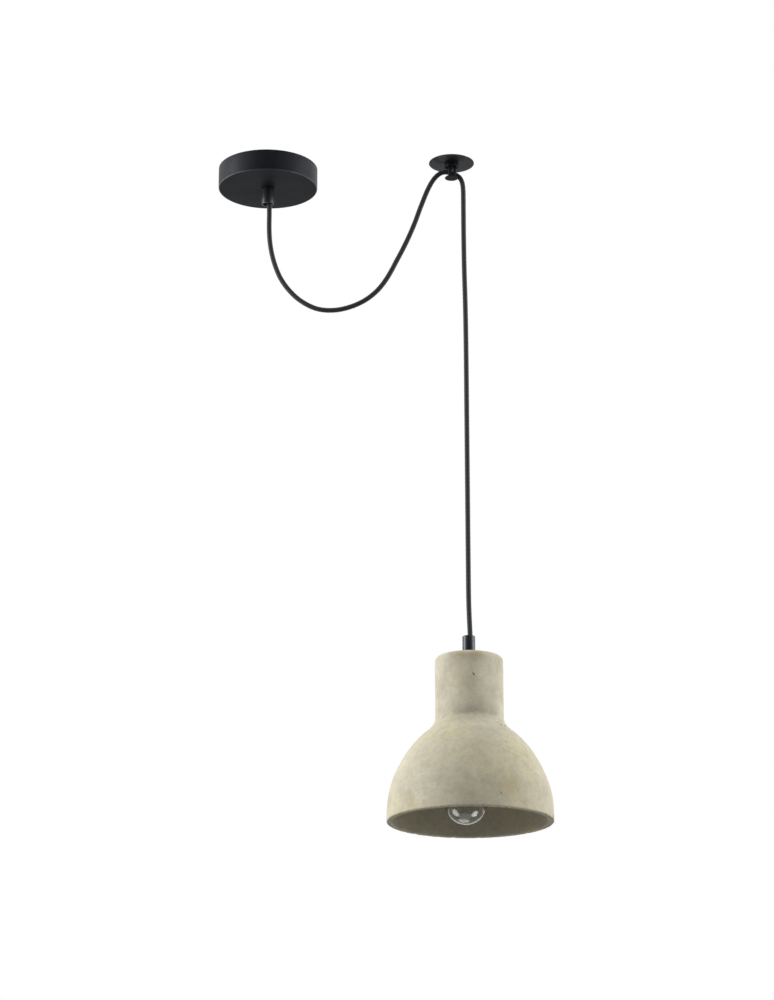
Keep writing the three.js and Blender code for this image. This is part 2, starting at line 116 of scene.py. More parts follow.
def rounded(outline, closed=True):
    """The outline's points, each (radius, z) or (radius, z, rounding), with its corners rounded."""
    count = len(outline)
    points = []
    for i, corner in enumerate(outline):
        here = Vector(corner[:2])
        if len(corner) == 2 or (not closed and i in (0, count - 1)):
            points.append(here)
            continue
        back = Vector(outline[i - 1][:2]) - here
        ahead = Vector(outline[(i + 1) % count][:2]) - here
        reach = min(corner[2], 0.48 * back.length, 0.48 * ahead.length)
        start = here + back.normalized() * reach
        end = here + ahead.normalized() * reach
        points += bend(start, here, end, CORNER_STEPS)
    return [tuple(point) for point in points]


def dense(outline, step):
    """The outline with points added so that none is further than step from the next."""
    points = []
    for (r0, z0), (r1, z1) in zip(outline, outline[1:]):
        pieces = max(1, math.ceil(math.hypot(r1 - r0, z1 - z0) / step))
        points += [(r0 + (r1 - r0) * k / pieces, z0 + (z1 - z0) * k / pieces) for k in range(pieces)]
    return points + [outline[-1]]


def finish_mesh(made, place=None, sharp=35):
    """The finished mesh in its place, smooth but for edges sharper than that many degrees."""
    if place is not None:
        made.transform(place)
    for face in made.faces:
        face.smooth = True
    for edge in made.edges:
        edge.smooth = edge.calc_face_angle(0) < math.radians(sharp)
    mesh = bpy.data.meshes.new("mesh")
    made.to_mesh(mesh)
    made.free()
    return mesh


def revolve(outline, segments=96, shape=None, place=None, sharp=35):
    """A turned mesh from an outline in metres, which ends on the axis or closes on itself.

    shape(angle, radius, z) says where each of its points goes instead.
    """
    made = bmesh.new()
    rings = []
    for radius, z in outline:
        if radius < ON_AXIS:
            rings.append([made.verts.new((0, 0, z))] * segments)
            continue
        ring = []
        for i in range(segments):
            angle = TURN * i / segments
            r, h = shape(angle, radius, z) if shape else (radius, z)
            ring.append(made.verts.new((r * math.cos(angle), r * math.sin(angle), h)))
        rings.append(ring)
    if outline[0][0] > ON_AXIS:
        rings.append(rings[0])
    for low, high in zip(rings, rings[1:]):
        for i in range(segments):
            j = (i + 1) % segments
            corners = [low[i], low[j], high[j], high[i]]
            face = [c for k, c in enumerate(corners) if c != corners[k - 1]]
            if len(face) > 2:
                made.faces.new(face)
    bmesh.ops.remove_doubles(made, verts=made.verts, dist=ON_AXIS)
    bmesh.ops.recalc_face_normals(made, faces=made.faces)
    return finish_mesh(made, place, sharp)


def prism(outline, low, high, along_y=False, bevel=0.0):
    """A flat outline raised along z from low to high, or along y, with bevelled edges. Millimetres.

    Each corner of the outline is (x, y) or (x, y, rounding), and (x, z) where it is raised along y.
    """
    def at_height(corner, height):
        x, y = corner
        return (x, height * MM, y) if along_y else (x, y, height * MM)

    outline = rounded(scaled(outline))
    made = bmesh.new()
    base = [made.verts.new(at_height(corner, low)) for corner in outline]
    top = [made.verts.new(at_height(corner, high)) for corner in outline]
    made.faces.new(base)
    made.faces.new(list(reversed(top)))
    for i in range(len(base)):
        j = (i + 1) % len(base)
        made.faces.new([base[j], base[i], top[i], top[j]])
    bmesh.ops.recalc_face_normals(made, faces=made.faces)
    if bevel:
        edges = [e for e in made.edges if e.calc_face_angle(0) > math.radians(25)]
        bmesh.ops.bevel(made, geom=edges, offset=bevel * MM, segments=2, profile=0.5, affect="EDGES")
    return finish_mesh(made)


def box_mesh(low, high, bevel=0.0):
    """A box between two corners in millimetres."""
    (x0, y0, z0), (x1, y1, z1) = low, high
    return prism([(x0, y0), (x1, y0), (x1, y1), (x0, y1)], z0, z1, bevel=bevel)


def cut(mesh, *tools, place=None):
    """The mesh with the tools' shapes cut out of it, then put in its place."""
    body = new_object("body", mesh)
    helpers = [new_object("tool", tool) for tool in tools]
    for helper in helpers:
        modifier = body.modifiers.new("cut", "BOOLEAN")
        modifier.operation = "DIFFERENCE"
        modifier.solver = "EXACT"
        modifier.object = helper
    bpy.context.view_layer.update()
    result = bpy.data.meshes.new_from_object(body.evaluated_get(bpy.context.evaluated_depsgraph_get()))
    for helper in [body, *helpers]:
        bpy.data.objects.remove(helper)
    made = bmesh.new()
    made.from_mesh(result)
    return finish_mesh(made, place, sharp=30)


def hexagon(across_flats):
    """Makes a round outline six-sided: no point stands outside the flats, in metres."""
    def shape(angle, radius, z):
        off_flat = angle % (TURN / 6) - TURN / 12
        return min(radius, across_flats / 2 / math.cos(off_flat)), z
    return shape


def thread(pitch, depth, low, high, least=0.0):
    """Ridges of a right-handed screw thread between two heights, all in millimetres.

    The ridges fade in and out over RUN_OUT. Points nearer the axis than least stay where they are.
    """
    def shape(angle, radius, z):
        height = z / MM
        fade = clamped((height - low) / RUN_OUT) * clamped((high - height) / RUN_OUT)
        if radius < least * MM:
            return radius, z
        ridge = 0.5 + 0.5 * math.cos(TURN * height / pitch - angle)
        return radius - depth * MM * (1 - ridge) * fade, z
    return shape


def smooth_run(knots, step):
    """Points one step apart on a centripetal Catmull-Rom curve, and how far along it each one is."""
    knots = [Vector(k) for k in knots]
    knots = [2 * knots[0] - knots[1], *knots, 2 * knots[-1] - knots[-2]]
    run = []
    for p0, p1, p2, p3 in zip(knots, knots[1:], knots[2:], knots[3:]):
        t1 = (p1 - p0).length ** 0.5
        t2 = t1 + (p2 - p1).length ** 0.5
        t3 = t2 + (p3 - p2).length ** 0.5
        for k in range(CURVE_STEPS):
            t = t1 + (t2 - t1) * k / CURVE_STEPS
            a = p0.lerp(p1, t / t1)
            b = p1.lerp(p2, (t - t1) / (t2 - t1))
            c = p2.lerp(p3, (t - t2) / (t3 - t2))
            d = a.lerp(b, t / t2)
            e = b.lerp(c, (t - t1) / (t3 - t1))
            run.append(d.lerp(e, (t - t1) / (t2 - t1)))
    run = np.array(run + [knots[-2]])
    travelled = np.concatenate([[0], np.cumsum(np.linalg.norm(np.diff(run, axis=0), axis=1))])
    even = np.linspace(0, travelled[-1], round(travelled[-1] / step) + 1)
    return np.stack([np.interp(even, travelled, column) for column in run.T], axis=1), even


def tube_mesh(rings):
    """A closed tube through rings of points, an array of shape (count, sides, 3)."""
    count, sides = rings.shape[:2]
    faces = [list(range(sides - 1, -1, -1)), list(range((count - 1) * sides, count * sides))]
    for k in range(count - 1):
        for i in range(sides):
            j = (i + 1) % sides
            faces.append([k * sides + i, k * sides + j, (k + 1) * sides + j, (k + 1) * sides + i])
    mesh = bpy.data.meshes.new("tube")
    mesh.from_pydata([tuple(point) for point in rings.reshape(-1, 3)], [], faces)
    mesh.polygons.foreach_set("use_smooth", [True] * len(faces))
    return mesh


def sweep(knots, radius, sides=12, step=0.4, place=None):
    """A round wire along knots, in millimetres."""
    return wire(smooth_run(scaled(knots), step * MM)[0], radius * MM, sides, place)


def wire(centres, radius, sides, place=None):
    """A round wire whose section keeps from twisting along the line of its centres."""
    ahead = np.gradient(centres, axis=0)
    ahead /= np.linalg.norm(ahead, axis=1)[:, None]
    side = Vector(ahead[0]).orthogonal().normalized()
    angle = np.linspace(0, TURN, sides, endpoint=False)
    rings = []
    for centre, direction in zip(centres, ahead):
        direction = Vector(direction)
        side = (side - direction * side.dot(direction)).normalized()
        up = direction.cross(side)
        ring = np.cos(angle)[:, None] * np.array(side) + np.sin(angle)[:, None] * np.array(up)
        rings.append(centre + radius * ring)
    mesh = tube_mesh(np.array(rings))
    if place is not None:
        mesh.transform(place)
    return mesh


def turned(outline, place=None, segments=96, step=None, shape=None):
    """A turned mesh from an outline in millimetres: (radius, z) or (radius, z, rounding)."""
    ring = outline[0][0] > 0
    points = rounded(scaled(outline), closed=ring)
    if step and ring:
        points = dense(points + [points[0]], step * MM)[:-1]
    elif step:
        points = dense(points, step * MM)
    return revolve(points, segments, shape, place)


def rod(radius, low, high, place=None, edge=0.2, segments=48):
    outline = [(0, low), (radius, low, edge), (radius, high, edge), (0, high)]
    return turned(outline, place, segments)


def drill(radius, low, high, place=None, segments=32):
    """The tool for a round hole."""
    return rod(radius, low, high, place, 0, segments)


def at(x, y, z=0):
    """A place that many millimetres from the canopy's centre."""
    return Matrix.Translation((x * MM, y * MM, z * MM))


def facing_x(x, y, z, sign=1):
    """A place whose z axis points along +X, or with sign -1 along -X. Millimetres."""
    return at(x, y, z) @ Matrix.Rotation(sign * TURN / 4, 4, "Y")


def arc(radius, start, end, pieces):
    """Points (x, y) round the origin from one angle to another."""
    angles = [start + (end - start) * i / pieces for i in range(pieces + 1)]
    return [(radius * math.cos(a), radius * math.sin(a)) for a in angles]


def set_screw(radius, length, pitch, socket, place):
    """A headless threaded screw from its driven end, at z = 0, to its tip, with a six-sided socket."""
    outline = [(0, 0), (radius, 0, 0.35), (radius, length, 0.35), (0, length)]
    body = turned(outline, segments=32, step=pitch / 6, shape=thread(pitch, 0.5 * pitch, 0.3, length - 0.3))
    six_sides = arc(socket / math.sqrt(3), 0, TURN, 6)[:-1]
    return cut(body, prism(six_sides, -1, 0.5 * length), place=place)


def slotted(mesh, radius, low, depth, place):
    """A screw with a slot cut across its lower end."""
    half = 0.14 * radius
    slot = box_mesh((-2 * radius, -half, low - 1), (2 * radius, half, low + depth))
    return cut(mesh, slot, place=place)


def hex_nut(across_flats, bore, low, high, place):
    """A nut with chamfered corners."""
    flat = across_flats / 2
    corner = across_flats / math.sqrt(3)
    bevel = 0.6 * (corner - flat)
    outline = [(bore, low, 0.2), (flat - 0.2, low), (corner, low + bevel), (corner, high - bevel),
               (flat - 0.2, high), (bore, high, 0.2)]
    return turned(outline, place, 96, 0.5, hexagon(across_flats * MM))


def add_piece(name, mesh, slot):
    piece = new_object(name, mesh)
    mesh.materials.clear()
    mesh.materials.append(materials[slot])
    return piece


def stand_for(node, mesh):
    """Adds the finished mesh of one CAD node: its material, its body, and what it replaces."""
    piece = add_piece("fine_" + node, mesh, slot_of[node])
    if node in OWN_COATS:
        mesh.materials[0] = OWN_COATS[node]
    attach(piece, body_of[node])
    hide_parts(node)
    return piece


# ---------------- material helpers

def new_material(name, **values):
    """A material, its tree, its Principled shader with constant values set, and the place on the object."""
    material = bpy.data.materials.new(name)
    material.use_nodes = True
    tree = material.node_tree
    shader = tree.nodes["Principled BSDF"]
    for socket, value in values.items():
        shader.inputs[socket.replace("_", " ")].default_value = value
    where = tree.nodes.new("ShaderNodeTexCoord").outputs["Object"]
    return material, tree, shader, where


def add_node(tree, kind, inputs=None, **settings):
    made = tree.nodes.new("ShaderNode" + kind)
    for key, value in settings.items():
        setattr(made, key, value)
    for socket, value in (inputs or {}).items():
        if isinstance(value, bpy.types.NodeSocket):
            tree.links.new(value, made.inputs[socket])
        else:
            made.inputs[socket].default_value = value
    return made


def grain(tree, where, scale, detail=4.0, roughness=0.55, stretch=None):
    """Noise from 0 to 1, with about that many spots in a metre."""
    if stretch:
        where = add_node(tree, "Mapping", {"Vector": where, "Scale": stretch}).outputs["Vector"]
    inputs = {"Vector": where, "Scale": scale, "Detail": detail, "Roughness": roughness}
    return add_node(tree, "TexNoise", inputs).outputs["Fac"]


def remap(tree, value, low, high, to_low=0.0, to_high=1.0):
    inputs = {"Value": value, "From Min": low, "From Max": high, "To Min": to_low, "To Max": to_high}
    return add_node(tree, "MapRange", inputs, interpolation_type="SMOOTHSTEP").outputs["Result"]


def mixed(tree, factor, a, b, blend="MIX"):
    a, b = [value if isinstance(value, bpy.types.NodeSocket) else (*value, 1) for value in (a, b)]
    inputs = {"Factor": factor, 6: a, 7: b}
    return add_node(tree, "Mix", inputs, data_type="RGBA", blend_type=blend).outputs[2]


def maths(tree, operation, a, b=0.0):
    return add_node(tree, "Math", {0: a, 1: b}, operation=operation).outputs["Value"]


def product(tree, a, b):
    return maths(tree, "MULTIPLY", a, b)


def total(tree, a, b):
    return maths(tree, "ADD", a, b)


def distance_to(tree, where, place):
    return add_node(tree, "VectorMath", {0: where, 1: place}, operation="DISTANCE").outputs["Value"]


def coat_with(tree, shader, colour, roughness, height, distance, strength):
    """Gives the shader its colour and roughness, and bumps up to that distance high, in metres."""
    tree.links.new(colour, shader.inputs["Base Color"])
    tree.links.new(roughness, shader.inputs["Roughness"])
    inputs = {"Height": height, "Distance": distance, "Strength": strength}
    tree.links.new(add_node(tree, "Bump", inputs).outputs["Normal"], shader.inputs["Normal"])


# ---------------- materials

# Tones of the concrete. low, edge and pore are painted shade: low on the dome, under the rim and in the
# pits. edge is also the tone of two dark marks at the rim.
CONCRETE = {
    "cool": (0.546, 0.513, 0.404), "warm": (0.562, 0.521, 0.376), "shade": (0.415, 0.38, 0.294),
    "pale": (0.7, 0.67, 0.555), "olive": (0.5, 0.442, 0.265), "pink": (0.525, 0.468, 0.385),
    "low": (0.99, 0.985, 0.972), "dark": (0.27, 0.24, 0.18), "smudge": (0.25, 0.225, 0.195),
    "pore": (0.04, 0.036, 0.028), "edge": (0.2, 0.182, 0.14), "stain": (0.455, 0.385, 0.235),
    "yellow": (0.59, 0.535, 0.345),
}
SHADE_X = 241.7
SHADE_Y = -16.6

# Single pits in the concrete: degrees to the right as seen from the front, then the distance from the
# shade's axis, z and size in millimetres.
PITS = [
    (6, 39.9, -654, 1.1), (4, 39.9, -652, 0.6), (8, 39.9, -656, 0.5), (44, 45.6, -709.5, 0.7),
    (47, 47.6, -711.5, 1), (51, 46.6, -710.5, 0.7), (54, 48.7, -712.5, 0.9), (58, 47.2, -711.1, 0.7),
    (46, 56, -717.5, 0.7), (30, 89, -772, 0.6), (-25, 81.2, -757, 0.5), (-50, 93.4, -790, 0.6),
    (32.7, 72.5, -738.5, 0.6),
]

# Single stains and pale spots in the same terms, with their tone and its strength.
MARKS = [
    (27, 94.8, -794.5, 10, "stain", 0.75), (32, 92.5, -787, 7, "stain", 0.55),
    (42, 78, -742.5, 15, "yellow", 0.6), (-20, 60, -724.5, 12, "yellow", 0.5),
    (-38, 96, -806.5, 6.5, "pale", 0.3), (-28, 94.8, -795, 5, "pale", 0.2),
    (-14, 39, -631, 6, "stain", 0.7), (12, 38.5, -630, 7, "stain", 0.6),
    (2, 96.2, -817, 1.2, "pale", 0.9), (5, 96.2, -816, 1, "pale", 0.8),
    (78, 96.2, -816.5, 3, "edge", 0.9), (62, 96.2, -817.5, 1.5, "edge", 0.9),
]
# Painted light: a patch on the front of the neck whose colour is multiplied by the gain.
PAINTED_LIGHT_SPOT = {"degrees": 0, "radius": 41.9, "z": -660, "size": 24, "gain": (1.17, 1.17, 1.17)}


def on_shade(degrees, radius, z):
    """The place at that angle round the shade's axis, from the front, in metres."""
    angle = math.radians(degrees)
    return (SHADE_X + radius * math.sin(angle)) * MM, (SHADE_Y - radius * math.cos(angle)) * MM, z * MM


def painted_edge_highlight(tree, where):
    """1 along the canopy's lower edge, for a painted highlight that is strongest at the sides. 0 elsewhere.
    """
    parts = add_node(tree, "SeparateXYZ", {"Vector": where}).outputs
    flat = add_node(tree, "CombineXYZ", {"X": parts["X"], "Y": parts["Y"]}).outputs["Vector"]
    radius = add_node(tree, "VectorMath", {0: flat}, operation="LENGTH").outputs["Value"]
    outer = product(tree, remap(tree, radius, 0.0588, 0.0602), remap(tree, radius, 0.066, 0.062))
    sides = remap(tree, maths(tree, "ABSOLUTE", parts["X"]), 0.008, 0.045, 0.3, 1.0)
    lowest = product(tree, outer, remap(tree, parts["Z"], -0.0248, -0.0258))
    return product(tree, lowest, sides)


def black_coat(name, colour, lighter, roughness, specular):
    """Satin black coating: a fine orange-peel surface with faint handling marks, and a painted highlight on
    the canopy's lower edge.
    """
    tint = (0.86, 0.93, 1.0, 1.0)
    material, tree, shader, where = new_material(name, Specular_IOR_Level=specular, Specular_Tint=tint)
    marks = grain(tree, where, 60, 5)
    peel = grain(tree, where, 1600, 2)
    coat = mixed(tree, remap(tree, marks, 0.3, 0.7), colour, lighter)
    # Painted highlight: the coat is lightened along the canopy's lower edge.
    edge_highlight = product(tree, painted_edge_highlight(tree, where), remap(tree, marks, 0.35, 0.6, 0.5, 1.0))
    coat = mixed(tree, edge_highlight, coat, (0.15, 0.16, 0.17))
    rough = remap(tree, marks, 0.3, 0.7, roughness, roughness + 0.08)
    coat_with(tree, shader, coat, rough, peel, 0.00005, 0.5)
    return material


def braided_cord():
    """Dark textile braid: the yarns' colour and sheen follow the woven ridges; the grooves' darker colour is
    painted shade.
    """
    material, tree, shader, where = new_material("black_braid", Specular_IOR_Level=0.35, Sheen_Weight=0.22)
    shader.inputs["Sheen Roughness"].default_value = 0.45
    weave = add_node(tree, "Attribute", attribute_name="weave").outputs["Fac"]
    fuzz = grain(tree, where, 2600, 3)
    # Painted shade: the colour is darker in the grooves between the yarns.
    raised = mixed(tree, remap(tree, weave, 0.1, 0.9), (0.007, 0.0074, 0.0078), (0.021, 0.0222, 0.0235))
    colour = mixed(tree, remap(tree, fuzz, 0.35, 0.75, 0.0, 0.35), raised, (0.042, 0.044, 0.046))
    coat_with(tree, shader, colour, remap(tree, fuzz, 0.3, 0.7, 0.55, 0.75), fuzz, 0.00012, 0.6)
    return material


def cast_concrete():
    """Warm grey concrete: clouds, mottle, sand, stains, pits and a smudged shoulder, with painted light
    on the front of the neck and painted shade in the pits, low on the dome and under the rim.
    """
    material, tree, shader, where = new_material("cast_concrete", Specular_IOR_Level=0.25)
    elsewhere = add_node(tree, "Mapping", {"Vector": where, "Location": (3, 1, 2)}).outputs["Vector"]
    clouds = grain(tree, where, 15, 3, 0.5)
    patches = grain(tree, where, 46, 6, 0.62)
    stains = grain(tree, elsewhere, 24, 5, 0.6)
    mottle = grain(tree, elsewhere, 170, 6, 0.7)
    sand = grain(tree, where, 480, 5, 0.8)
    colour = mixed(tree, remap(tree, clouds, 0.36, 0.64), CONCRETE["cool"], CONCRETE["warm"])
    layers = (
        (patches, 0.45, 0.7, 0.6, "shade"), (patches, 0.44, 0.3, 0.3, "pale"),
        (stains, 0.54, 0.7, 0.5, "olive"), (stains, 0.44, 0.3, 0.4, "pink"),
        (mottle, 0.42, 0.68, 0.5, "shade"),
        (sand, 0.44, 0.25, 0.62, "pale"), (sand, 0.56, 0.74, 0.72, "dark"),
    )
    for value, none, full, strength, tone in layers:
        colour = mixed(tree, remap(tree, value, none, full, 0.0, strength), colour, CONCRETE[tone])
    height = add_node(tree, "SeparateXYZ", {"Vector": where}).outputs["Z"]
    # Painted shade: the dome is made slightly darker towards its lower part.
    colour = mixed(tree, remap(tree, height, -0.7, -0.74, 0.0, 0.9), colour, CONCRETE["low"], "MULTIPLY")
    smudge = add_node(tree, "Attribute", attribute_name="smudge").outputs["Fac"]
    ragged = product(tree, smudge, remap(tree, mottle, 0.3, 0.6, 0.6, 1.0))
    colour = mixed(tree, ragged, colour, CONCRETE["smudge"])
    # Painted shade on the flat underside of the rim.
    edge = add_node(tree, "Attribute", attribute_name="edge").outputs["Fac"]
    colour = mixed(tree, product(tree, edge, 0.8), colour, CONCRETE["edge"])
    for degrees, radius, z, size, tone, strength in MARKS:
        near = ragged_spot(tree, where, on_shade(degrees, radius, z), size * MM, mottle)
        colour = mixed(tree, product(tree, near, strength), colour, CONCRETE[tone])
    # Painted light: the front of the neck is brightened.
    degrees, radius, z, size, gain = PAINTED_LIGHT_SPOT.values()
    painted_light = spot(tree, where, on_shade(degrees, radius, z), size * MM)
    colour = mixed(tree, painted_light, colour, gain, "MULTIPLY")
    # Pores and pits are bumped in and coloured dark: painted shade in these hollows.
    pores = scattered_pores(tree, where, 95, 0.988, 0.06)
    for degrees, radius, z, size in PITS:
        pores = maths(tree, "MAXIMUM", pores, spot(tree, where, on_shade(degrees, radius, z), size * MM))
    colour = mixed(tree, product(tree, pores, 0.85), colour, CONCRETE["pore"])
    bumps = maths(tree, "SUBTRACT", total(tree, product(tree, sand, 0.4), product(tree, mottle, 0.3)), pores)
    coat_with(tree, shader, colour, remap(tree, patches, 0.3, 0.7, 0.78, 0.92), bumps, 0.0005, 0.85)
    return material


def scattered_pores(tree, where, scale, rarity, size):
    """Small round pores in a few of the cells of a cell pattern, as 0 to 1."""
    cells = add_node(tree, "TexVoronoi", {"Vector": where, "Scale": scale})
    pick = add_node(tree, "SeparateColor", {"Color": cells.outputs["Color"]}).outputs["Red"]
    chosen = maths(tree, "GREATER_THAN", pick, rarity)
    return product(tree, chosen, remap(tree, cells.outputs["Distance"], 1.6 * size, 0.7 * size))


def spot(tree, where, place, radius):
    """1 within that radius of a place, falling to 0 just outside it."""
    return remap(tree, distance_to(tree, where, place), 1.5 * radius, 0.6 * radius)


def ragged_spot(tree, where, place, radius, noise_value):
    """A spot with a soft edge that the noise moves in and out."""
    moved_out = remap(tree, noise_value, 0.3, 0.7, -0.8 * radius, 0.8 * radius)
    moved = total(tree, distance_to(tree, where, place), moved_out)
    return remap(tree, moved, 1.4 * radius, 0.3 * radius)


def plated_metal(name, bright, dull, roughness):
    """Plated or turned metal with fine tool lines and dull spots."""
    material, tree, shader, where = new_material(name, Metallic=1.0)
    lines = grain(tree, where, 700, 3, 0.6, (0.2, 0.2, 6))
    tarnish = grain(tree, where, 160, 5)
    colour = mixed(tree, remap(tree, tarnish, 0.4, 0.7), bright, dull)
    rough = total(tree, remap(tree, tarnish, 0.3, 0.7, 0.0, 0.16), roughness)
    rough = total(tree, rough, remap(tree, lines, 0.3, 0.7, 0.0, 0.08))
    coat_with(tree, shader, colour, rough, lines, 0.00003, 0.5)
    return material


def moulded(name, colour, darker, roughness, texture=0.00003, **values):
    """Moulded plastic, rubber or fired ceramic, with a faint texture and uneven gloss."""
    material, tree, shader, where = new_material(name, **values)
    clouds = grain(tree, where, 90, 4)
    fine = grain(tree, where, 2200, 2)
    colour = mixed(tree, remap(tree, clouds, 0.35, 0.7), colour, darker)
    rough = remap(tree, clouds, 0.3, 0.7, roughness, roughness + 0.12)
    coat_with(tree, shader, colour, rough, fine, texture, 0.6)
    return material


def blown_glass():
    """Clear bulb glass with very slight waves and a trace of dust."""
    values = {"IOR": 1.58, "Transmission_Weight": 1.0, "Specular_Tint": (0.96, 1.0, 0.95, 1.0)}
    material, tree, shader, where = new_material("clear_glass", **values)
    waves = grain(tree, where, 55, 2)
    dust = grain(tree, where, 1200, 3)
    tint = mixed(tree, remap(tree, waves, 0.3, 0.7), (0.79, 0.775, 0.725), (0.77, 0.755, 0.705))
    coat_with(tree, shader, tint, remap(tree, dust, 0.62, 0.85, 0.0, 0.01), waves, 0.0003, 0.01)
    return material


materials = {
    "black_paint": black_coat(
        "black_powder_coat", (0.0075, 0.0084, 0.011), (0.0105, 0.0116, 0.0148), 0.5, 0.155),
    "black_cord": braided_cord(),
    "concrete": cast_concrete(),
    "zinc_steel": plated_metal("zinc_plated_steel", (0.62, 0.63, 0.64), (0.42, 0.43, 0.43), 0.24),
    "brass": plated_metal("turned_brass", (0.78, 0.58, 0.27), (0.5, 0.34, 0.15), 0.22),
    "nylon": moulded("natural_nylon", (0.74, 0.71, 0.62), (0.66, 0.62, 0.52), 0.42, Subsurface_Weight=0.08),
    "rubber": moulded("black_rubber", (0.014, 0.014, 0.014), (0.022, 0.021, 0.02), 0.68, 0.00008),
    "black_plastic": moulded("black_phenolic", (0.011, 0.011, 0.012), (0.018, 0.017, 0.017), 0.22),
    "ceramic": moulded("fired_ceramic", (0.78, 0.75, 0.67), (0.7, 0.66, 0.57), 0.4, 0.00006),
    "clear_glass": blown_glass(),
    "black_glass": moulded("black_glass", (0.006, 0.006, 0.007), (0.012, 0.011, 0.012), 0.06, 0.00001),
    "tungsten": plated_metal("drawn_wire", (0.3, 0.29, 0.27), (0.2, 0.19, 0.18), 0.3),
    "core_brown": moulded("brown_core", (0.12, 0.045, 0.018), (0.09, 0.034, 0.014), 0.4),
    "core_blue": moulded("blue_core", (0.025, 0.1, 0.34), (0.02, 0.08, 0.27), 0.4),
    "core_green": moulded("green_core", (0.09, 0.3, 0.05), (0.35, 0.36, 0.03), 0.4),
}

# Some pieces have their own coat of the same black: the cord grip is smoother, the hook's disc is
# glossy, the hook's small pieces are dull, and the gland is between the two.
# Their base colours differ too: the lighter black of the gland and the disc is painted light, and the darker
# black of the hook's small pieces is painted shade.
smooth_black = black_coat("smooth_black_coat", (0.006, 0.007, 0.0095), (0.009, 0.0102, 0.0135), 0.25, 0.5)
glossy_black = black_coat("glossy_black_coat", (0.015, 0.0168, 0.021), (0.018, 0.02, 0.0245), 0.36, 0.38)
satin_black = black_coat("satin_black_coat", (0.022, 0.024, 0.0275), (0.028, 0.0305, 0.035), 0.34, 0.5)
dull_black = black_coat("dull_black_coat", (0.0065, 0.007, 0.0075), (0.0085, 0.009, 0.0095), 0.5, 0.16)
OWN_COATS = {
    "grip_body": smooth_black, "grip_grub_screw": smooth_black, "gland_grub_screw": smooth_black,
    "gland_body": satin_black, "hook_plate": glossy_black,
    "hook_boss": dull_black, "hook_post": dull_black, "hook_pin": dull_black, "hook_button": dull_black,
}


# ---------------- cord

CORD_RADIUS = 3 * MM
CORE_RADIUS = 0.9
CORD_STEP = 0.5 * MM
CORD_SIDES = 32

# The cord's whole run lies in the upright plane through both axes: (x, z) in millimetres.
SWAG = [
    (0, -16.8), (0, -24), (0.4, -31), (1.2, -37.5), (1.9, -46), (2.1, -58),
    (2.2, -80), (3.4, -97), (6.1, -113), (10.4, -128.5), (17, -144.5),
    (27.6, -160.4), (41.4, -174.1), (61, -185), (80.4, -187.6), (99.8, -184.4),
    (119.1, -176), (134.6, -163.4), (146.1, -148), (158.3, -124.9), (169.7, -101.6),
    (179.5, -78.2), (187.7, -54.9),
]
OVER_HOOK = [
    (195.8, -33.8), (200.9, -23.4), (204.8, -17.6), (208.8, -13.5), (213, -10.8),
    (217.3, -9.9), (221.8, -10.5), (226.3, -12.1), (230.8, -14.1), (234.9, -17.2),
    (237.6, -21.9), (239.1, -28.3), (239.6, -36), (239.7, -44.3),
]
LINK = [(239.7, -47.5), (239.7, -66), (239.7, -82)]
DROP = [
    (239.7, -86), (239.8, -110), (240.2, -145), (240.9, -180), (241.3, -215),
    (241.5, -260), (241.6, -330), (241.7, -420), (241.8, -500), (242, -556),
    (242.5, -576), (243.1, -592), (243.3, -601), (243.2, -610.3),
]
# Right of HANG_X and more than SWAG_LEAST along, the cord hangs down from the hook. Metres, as below.
HANG_X = 0.23
SWAG_LEAST = 0.3
LINK_TOP = -0.0295
LINK_BOTTOM = -0.0665
# The bodies above and below each bend, and the heights between which it bends.
LINK_BEND = ("ceiling_set", "cord_link", -0.030, -0.064)
DROP_BEND = ("cord_link", "pendant", -0.068, -0.104)
BRAID = {"yarns": 8, "lay": 5.2, "relief": 0.16}


def cord_rings():
    """The cord's centres, distances along it, ring points and weave heights, for the whole run."""
    low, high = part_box("shade")
    slope = (low.y + high.y) / (low.x + high.x)
    flat, travelled = smooth_run(scaled(SWAG + OVER_HOOK + LINK + DROP), CORD_STEP)
    across = Vector((1, slope, 0)).normalized()
    centres = np.stack([flat[:, 0], flat[:, 0] * slope, flat[:, 1]], axis=1)
    ahead = np.gradient(centres, axis=0)
    ahead /= np.linalg.norm(ahead, axis=1)[:, None]
    side = np.array(Vector((0, 0, 1)).cross(across))
    up = np.cross(ahead, side)
    angle = np.linspace(0, TURN, CORD_SIDES, endpoint=False)
    turns = travelled[:, None] * (TURN / (BRAID["lay"] * MM))
    one_way = np.cos(BRAID["yarns"] * angle[None, :] + turns)
    other_way = np.cos(BRAID["yarns"] * angle[None, :] - turns)
    weave = np.maximum(one_way, other_way) * 0.5 + 0.5
    radius = CORD_RADIUS - BRAID["relief"] * MM * (1 - weave)
    around = np.cos(angle)[None, :, None] * side + np.sin(angle)[None, :, None] * up[:, None, :]
    return centres, travelled, centres[:, None, :] + radius[:, :, None] * around, weave


def add_values(mesh, name, values):
    """One value for each of the mesh's points, for its material."""
    mesh.attributes.new(name, "FLOAT", "POINT").data.foreach_set("value", values)


